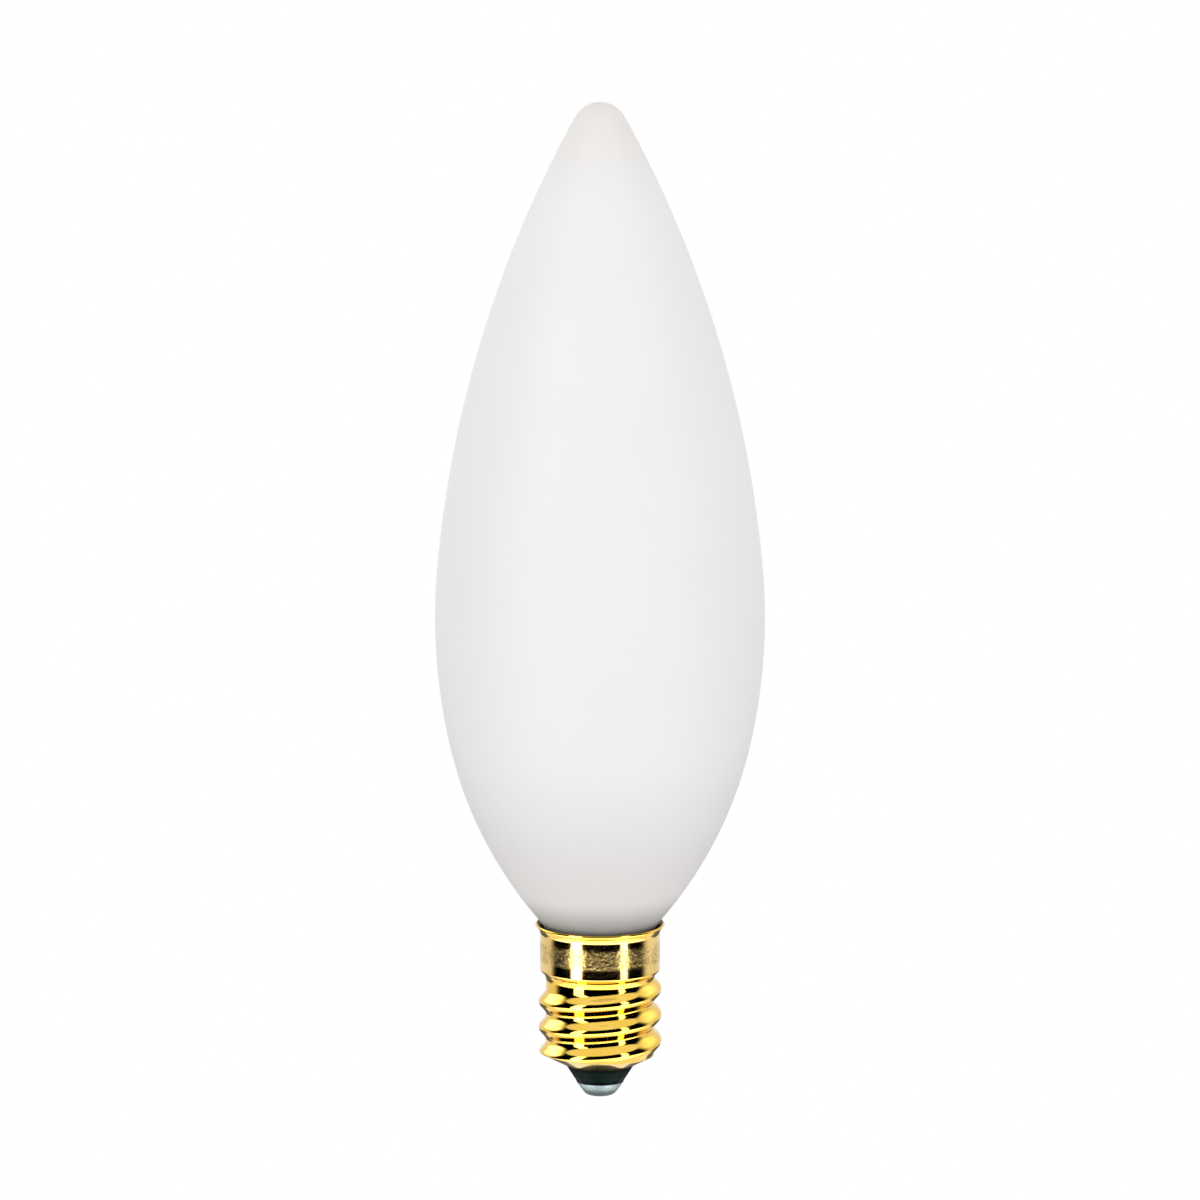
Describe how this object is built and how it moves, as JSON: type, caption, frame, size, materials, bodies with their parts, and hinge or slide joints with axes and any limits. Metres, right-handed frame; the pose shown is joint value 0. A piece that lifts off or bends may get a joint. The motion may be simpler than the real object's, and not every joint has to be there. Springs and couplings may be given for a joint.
{
  "type": "candle bulb",
  "caption": "Candle-shaped lamp bulb in satin white glass on a rolled brass candelabra screw cap, with a dark glass insulator and a soldered centre contact.",
  "frame": {"origin": "lowest point of the centre contact, on the lamp's axis", "axes": "+Z along the lamp's axis from the contact to the glass tip; +Y towards the side solder at the back of the rim; -Y is the side that the picture shows"},
  "size_m": [0.0318, 0.0318, 0.0975],
  "materials": {
    "frosted_glass": "satin white coated glass, opaque to the eye",
    "brass_shell": "polished sheet",
    "dark_glass": "glossy, nearly black green",
    "solder": "dull bluish-grey solder",
    "brass_eyelet": "plain",
    "cement": "baked basing cement",
    "lead_wire": "plated wire"
  },
  "bodies": {
    "root": {"glass_bulb": "frosted_glass", "screw_shell": "brass_shell", "insulator": "dark_glass", "contact_solder": "solder", "contact_eyelet": "brass_eyelet", "basing_cement": "cement", "centre_lead": "lead_wire", "side_lead": "lead_wire", "side_solder": "solder"}
  },
  "joints": []
}
